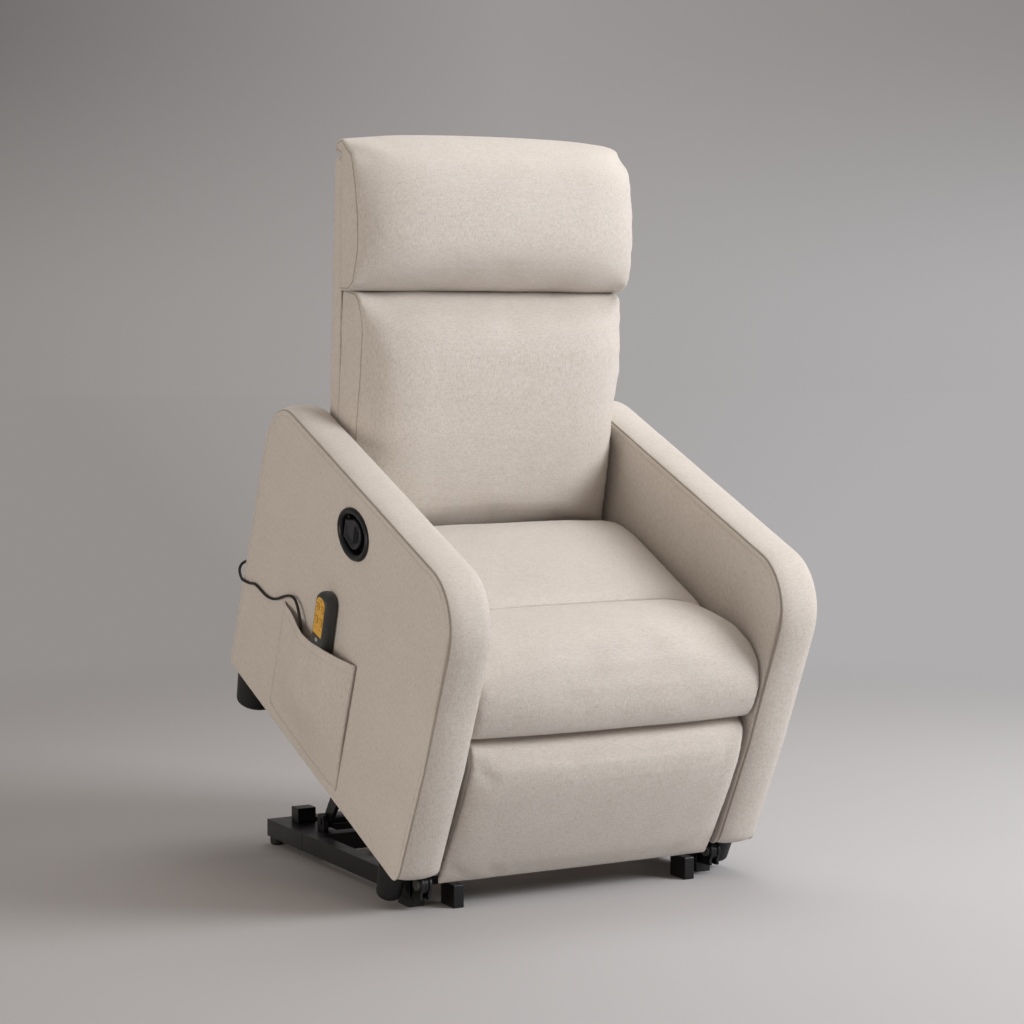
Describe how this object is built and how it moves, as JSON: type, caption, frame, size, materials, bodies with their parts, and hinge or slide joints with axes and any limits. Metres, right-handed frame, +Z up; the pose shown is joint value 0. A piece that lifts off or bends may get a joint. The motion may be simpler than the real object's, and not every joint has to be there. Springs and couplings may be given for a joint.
{
  "type": "lift recliner chair",
  "caption": "Upholstered powered lift recliner chair, tilted up on a steel floor frame, with legrest, reclining back, release lever and corded handset in a side pocket.",
  "frame": {"origin": "on the floor, below the middle of the bounding box of the lifted chair", "axes": "+Z up, -Y is the way the chair faces, +X is to the right for someone who faces the chair; left and right in names are also as seen by someone who faces the chair"},
  "size_m": [0.706, 0.9064, 1.2701],
  "materials": {
    "black_steel": "satin",
    "zinc_steel": "brushed",
    "beige_cloth": "matt",
    "plywood": "plain",
    "black_plastic": "satin",
    "grey_plastic": "satin",
    "yellow_film": "satin",
    "strap_webbing": "woven",
    "cord_rubber": "matt"
  },
  "bodies": {
    "floor_frame": {"floor_side_tubes": "black_steel", "floor_end_tubes": "black_steel", "floor_cross_tubes": "black_steel", "floor_front_legs": "black_steel", "floor_glides": "black_plastic", "stop_blocks": "black_steel", "floor_brackets": "black_steel", "floor_pins": "zinc_steel"},
    "chair": {"lift_rails": "black_steel", "lift_cross_tube": "black_steel", "lift_cam_plates": "black_steel", "drive_clevis": "black_steel", "drive_rod_pin": "zinc_steel", "left_arm_panel": "beige_cloth", "left_arm_core": "plywood", "left_arm_pad": "beige_cloth", "right_arm_panel": "beige_cloth", "right_arm_core": "plywood", "right_arm_pad": "beige_cloth", "seat_side_rails": "plywood", "seat_cross_rails": "plywood", "seat_straps": "strap_webbing", "roll_board": "plywood", "seat_cushion": "beige_cloth", "front_roll": "beige_cloth", "rear_apron": "beige_cloth", "control_box": "black_plastic", "front_feet": "black_plastic", "rear_feet": "black_plastic", "back_brackets": "black_steel", "legrest_mounts": "black_steel", "lever_surround": "black_plastic", "release_cable": "cord_rubber", "side_pocket": "beige_cloth", "handset_shell": "grey_plastic", "handset_keypad": "yellow_film", "handset_cord": "cord_rubber"},
    "drive_housing": {"drive_gearbox": "black_plastic", "drive_motor": "black_plastic", "drive_tube": "black_steel"},
    "push_rod": {"drive_rod": "zinc_steel"},
    "lift_arm_pair": {"lift_arms": "black_steel", "lift_arm_shaft": "black_steel"},
    "roller_pair": {"lift_rollers": "black_plastic"},
    "back": {"back_uprights": "plywood", "back_cross_rails": "plywood", "back_straps": "strap_webbing", "massage_motors": "black_plastic", "back_panel": "beige_cloth", "back_cushion": "beige_cloth", "head_cushion": "beige_cloth"},
    "rear_link_pair": {"legrest_rear_links": "black_steel"},
    "front_link_pair": {"legrest_front_links": "black_steel"},
    "legrest": {"legrest_board": "plywood", "legrest_pad": "beige_cloth"},
    "release_lever": {"lever_paddle": "black_plastic"},
    "button_upper_front": {"upper_front_button": "yellow_film"},
    "button_upper_rear": {"upper_rear_button": "yellow_film"},
    "button_lower_front": {"lower_front_button": "yellow_film"},
    "button_lower_rear": {"lower_rear_button": "yellow_film"}
  },
  "joints": [
    {"name": "lift_tilt", "type": "hinge", "parent": "floor_frame", "child": "chair", "pos_m": [0.0135, -0.222, 0.042], "axis": [1, 0, 0], "range_deg": [-22, 0]},
    {"name": "lift_arm_swing", "type": "hinge", "parent": "floor_frame", "child": "lift_arm_pair", "pos_m": [0.0135, 0.248, 0.062], "axis": [1, 0, 0], "range_deg": [0, 20.65]},
    {"name": "roller_spin", "type": "hinge", "parent": "lift_arm_pair", "child": "roller_pair", "pos_m": [0.0135, 0.00031, 0.24506], "axis": [1, 0, 0], "continuous": true},
    {"name": "drive_swing", "type": "hinge", "parent": "floor_frame", "child": "drive_housing", "pos_m": [0.0135, 0.219, 0.08], "axis": [1, 0, 0], "range_deg": [-2.95, 0]},
    {"name": "drive_extend", "type": "slide", "parent": "drive_housing", "child": "push_rod", "axis": [0, -0.9593, 0.2823], "range_m": [-0.0666, 0]},
    {"name": "back_recline", "type": "hinge", "parent": "chair", "child": "back", "pos_m": [0.0135, 0.1792, 0.54923], "axis": [1, 0, 0], "range_deg": [-35, 0]},
    {"name": "rear_link_swing", "type": "hinge", "parent": "chair", "child": "rear_link_pair", "pos_m": [0.0135, -0.22187, 0.27393], "axis": [1, 0, 0], "range_deg": [-120.4, 0]},
    {"name": "front_link_swing", "type": "hinge", "parent": "rear_link_pair", "child": "front_link_pair", "pos_m": [0.0135, -0.06981, 0.18732], "axis": [1, 0, 0], "range_deg": [0, 103.6]},
    {"name": "legrest_turn", "type": "hinge", "parent": "front_link_pair", "child": "legrest", "pos_m": [0.0135, -0.24477, 0.18379], "axis": [1, 0, 0], "range_deg": [-71.2, 0]},
    {"name": "lever_pull", "type": "hinge", "parent": "chair", "child": "release_lever", "pos_m": [-0.3205, -0.07464, 0.61245], "axis": [0, -0.2756, 0.9613], "range_deg": [-24, 0], "stiffness_Nm_per_rad": 0.8, "springref_deg": 6.88},
    {"name": "press_upper_front", "type": "slide", "parent": "chair", "child": "button_upper_front", "axis": [1, 0, 0], "range_m": [0, 0.0008], "stiffness_N_per_m": 600, "springref_m": -0.0008},
    {"name": "press_upper_rear", "type": "slide", "parent": "chair", "child": "button_upper_rear", "axis": [1, 0, 0], "range_m": [0, 0.0008], "stiffness_N_per_m": 600, "springref_m": -0.0008},
    {"name": "press_lower_front", "type": "slide", "parent": "chair", "child": "button_lower_front", "axis": [1, 0, 0], "range_m": [0, 0.0008], "stiffness_N_per_m": 600, "springref_m": -0.0008},
    {"name": "press_lower_rear", "type": "slide", "parent": "chair", "child": "button_lower_rear", "axis": [1, 0, 0], "range_m": [0, 0.0008], "stiffness_N_per_m": 600, "springref_m": -0.0008}
  ],
  "couplings": [
    {"joint": "lift_arm_swing", "follows": "lift_tilt", "ratio": -0.9294},
    {"joint": "drive_swing", "follows": "lift_tilt", "ratio": 0.125},
    {"joint": "drive_extend", "follows": "lift_tilt", "m_per_rad": 0.17217},
    {"joint": "front_link_swing", "follows": "rear_link_swing", "ratio": -0.8522},
    {"joint": "legrest_turn", "follows": "rear_link_swing", "ratio": 0.5833}
  ]
}
